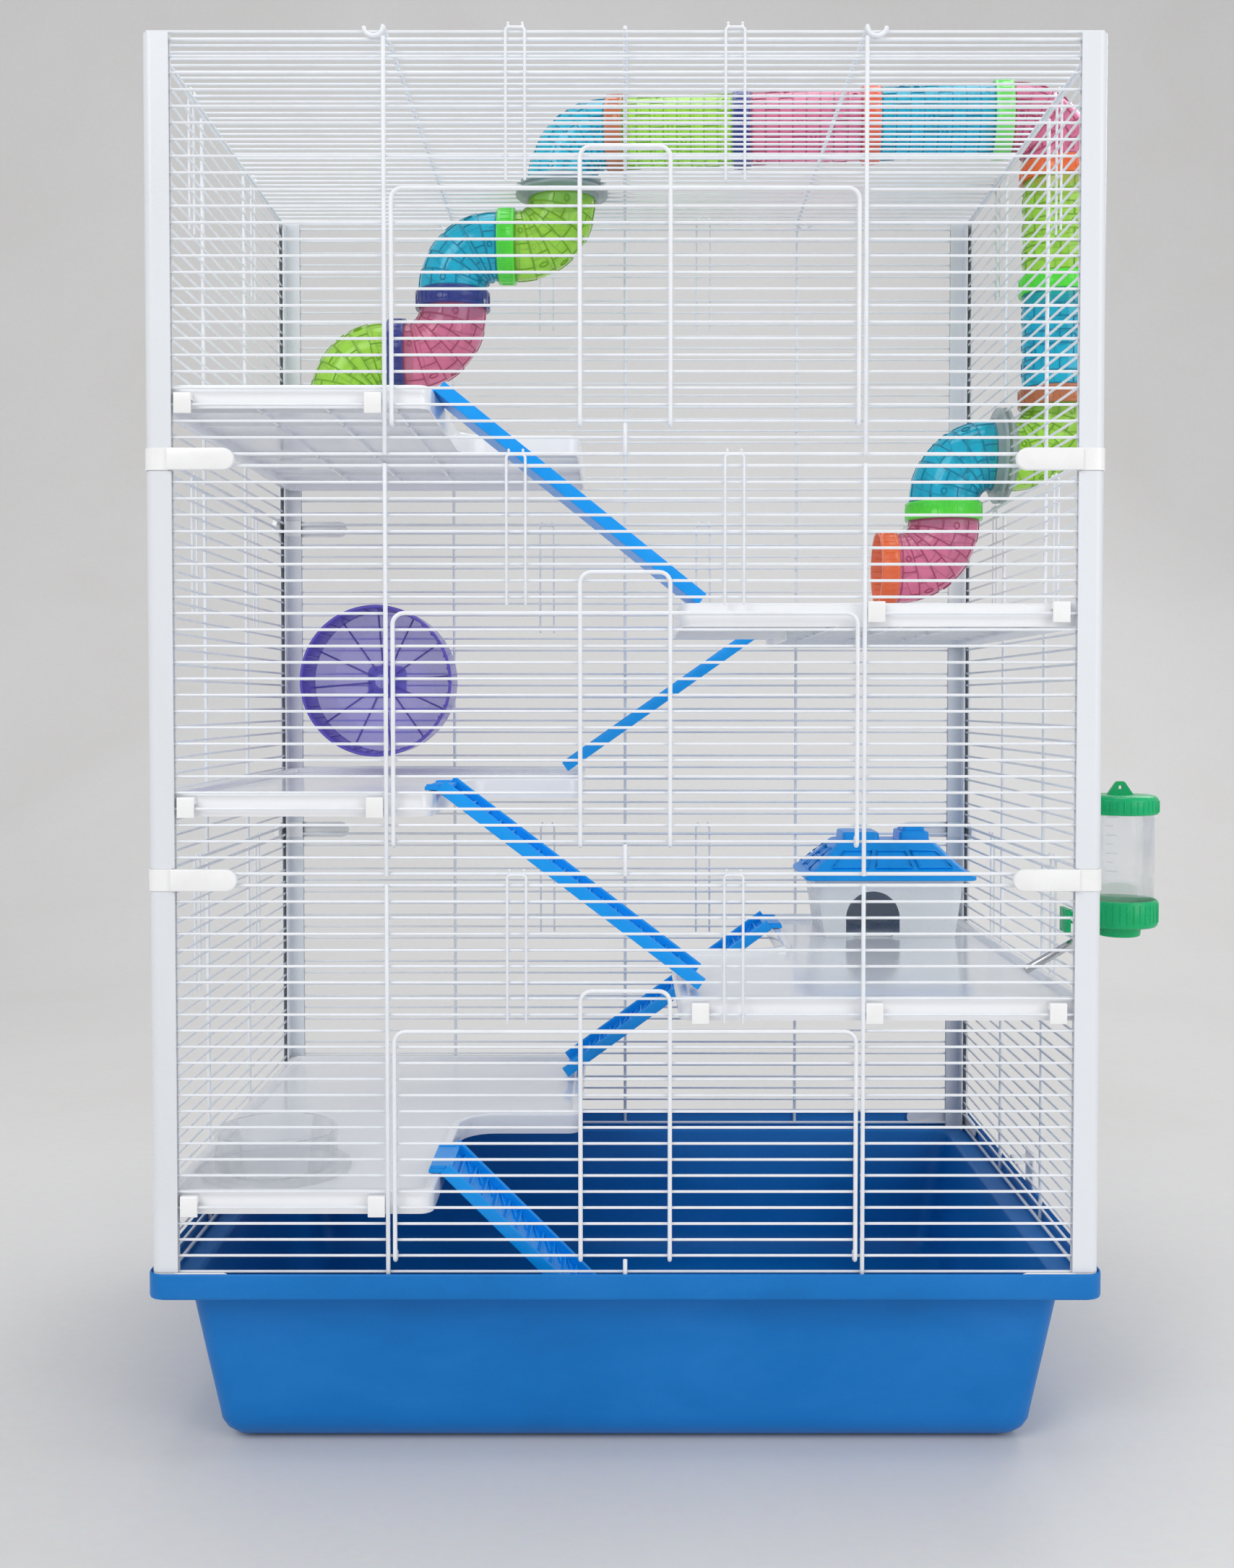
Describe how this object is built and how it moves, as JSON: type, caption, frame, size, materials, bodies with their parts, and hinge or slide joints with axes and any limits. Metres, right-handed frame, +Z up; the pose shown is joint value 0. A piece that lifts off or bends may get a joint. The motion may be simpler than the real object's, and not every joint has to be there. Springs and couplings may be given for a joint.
{
  "type": "hamster cage",
  "caption": "Tall wire pet cage on a deep plastic tray, with corner posts, flap doors, shelves, ramps, running wheel, hut, dish, bottle and a tube run over the roof.",
  "frame": {"origin": "middle of the tray's flat underside", "axes": "+Z up, the door side faces -Y, +X to the right seen from the door side"},
  "size_m": [0.6901, 0.406, 0.9825],
  "materials": {
    "white_wire": "white powder-coated wire",
    "white_door_wire": "white powder-coated rod",
    "white_post": "smooth white extruded post",
    "white_clip": "moulded white plastic",
    "white_shelf": "glossy white moulded plastic",
    "blue_tray": "satin blue moulded plastic",
    "blue_ramp": "glossy bright blue moulded plastic",
    "purple_wheel": "translucent purple plastic",
    "lilac_plastic": "moulded lilac plastic",
    "milky_plastic": "milky translucent plastic",
    "clear_plastic": "clear moulded plastic",
    "green_plastic": "glossy green moulded plastic",
    "steel": "polished steel",
    "green_tube": "translucent lime green plastic",
    "pink_tube": "translucent pink plastic",
    "blue_tube": "translucent sky blue plastic",
    "tube_ring": "translucent coloured ring",
    "frosted_plastic": "frosted translucent plastic"
  },
  "bodies": {
    "cage": {"tray": "blue_tray", "posts_front_left": "white_post", "posts_front_right": "white_post", "posts_back_left": "white_post", "posts_back_right": "white_post", "base_corner_brackets": "white_clip", "lower_corner_connectors": "white_clip", "upper_corner_connectors": "white_clip", "front_panel_lower": "white_wire", "front_panel_middle": "white_wire", "front_panel_upper": "white_wire", "back_panels": "white_wire", "left_panels": "white_wire", "right_panels": "white_wire", "roof_panel": "white_wire", "shelf_1_left": "white_shelf", "shelf_2_right": "white_shelf", "shelf_3_left": "white_shelf", "shelf_4_right": "white_shelf", "shelf_5_left": "white_shelf", "shelf_clips": "white_clip", "ramp_1": "blue_ramp", "ramp_2": "blue_ramp", "ramp_3": "blue_ramp", "ramp_4": "blue_ramp", "ramp_5": "blue_ramp", "wheel_bracket": "lilac_plastic", "wheel_axle_cap": "lilac_plastic", "house_base": "milky_plastic", "food_dish": "clear_plastic", "bottle_cap": "green_plastic", "bottle_body": "clear_plastic", "bottle_base": "green_plastic", "bottle_spout": "steel", "tube_01_elbow": "green_tube", "tube_02_elbow": "pink_tube", "tube_03_elbow": "blue_tube", "tube_04_elbow": "green_tube", "tube_05_elbow": "blue_tube", "tube_06_straight": "green_tube", "tube_07_straight": "pink_tube", "tube_08_straight": "blue_tube", "tube_09_elbow": "pink_tube", "tube_10_straight": "green_tube", "tube_11_straight": "blue_tube", "tube_12_elbow": "green_tube", "tube_13_elbow": "blue_tube", "tube_14_elbow": "pink_tube", "tube_rings": "tube_ring", "roof_flange": "frosted_plastic", "wall_flange": "frosted_plastic"},
    "lower_door": {"door_lower": "white_door_wire"},
    "middle_door": {"door_middle": "white_door_wire"},
    "upper_door": {"door_upper": "white_door_wire"},
    "running_wheel": {"wheel": "purple_wheel"},
    "hut_roof": {"house_roof": "blue_ramp"},
    "ball": {"spout_ball": "steel"},
    "left_latch": {"latch_left": "white_clip"},
    "right_latch": {"latch_right": "white_clip"}
  },
  "joints": [
    {"name": "lower_door_flap", "type": "hinge", "parent": "cage", "child": "lower_door", "pos_m": [0, -0.197, 0.13239], "axis": [1, 0, 0], "range_deg": [0, 120]},
    {"name": "middle_door_flap", "type": "hinge", "parent": "cage", "child": "middle_door", "pos_m": [0, -0.197, 0.39839], "axis": [1, 0, 0], "range_deg": [0, 120]},
    {"name": "upper_door_flap", "type": "hinge", "parent": "cage", "child": "upper_door", "pos_m": [0, -0.197, 0.66439], "axis": [1, 0, 0], "range_deg": [0, 120]},
    {"name": "wheel_spin", "type": "hinge", "parent": "cage", "child": "running_wheel", "pos_m": [-0.21, 0.178, 0.505], "axis": [0, 1, 0], "continuous": true},
    {"name": "hut_roof_lift", "type": "slide", "parent": "cage", "child": "hut_roof", "axis": [0, 0, 1], "range_m": [0, 0.045]},
    {"name": "spout_ball_lift", "type": "slide", "parent": "cage", "child": "ball", "axis": [0.866, 0, 0.5], "range_m": [0, 0.0012]},
    {"name": "left_latch_swing", "type": "hinge", "parent": "cage", "child": "left_latch", "pos_m": [-0.3105, 0, 0.112], "axis": [0, -1, 0], "range_deg": [0, 95]},
    {"name": "right_latch_swing", "type": "hinge", "parent": "cage", "child": "right_latch", "pos_m": [0.3105, 0, 0.112], "axis": [0, 1, 0], "range_deg": [0, 95]}
  ]
}
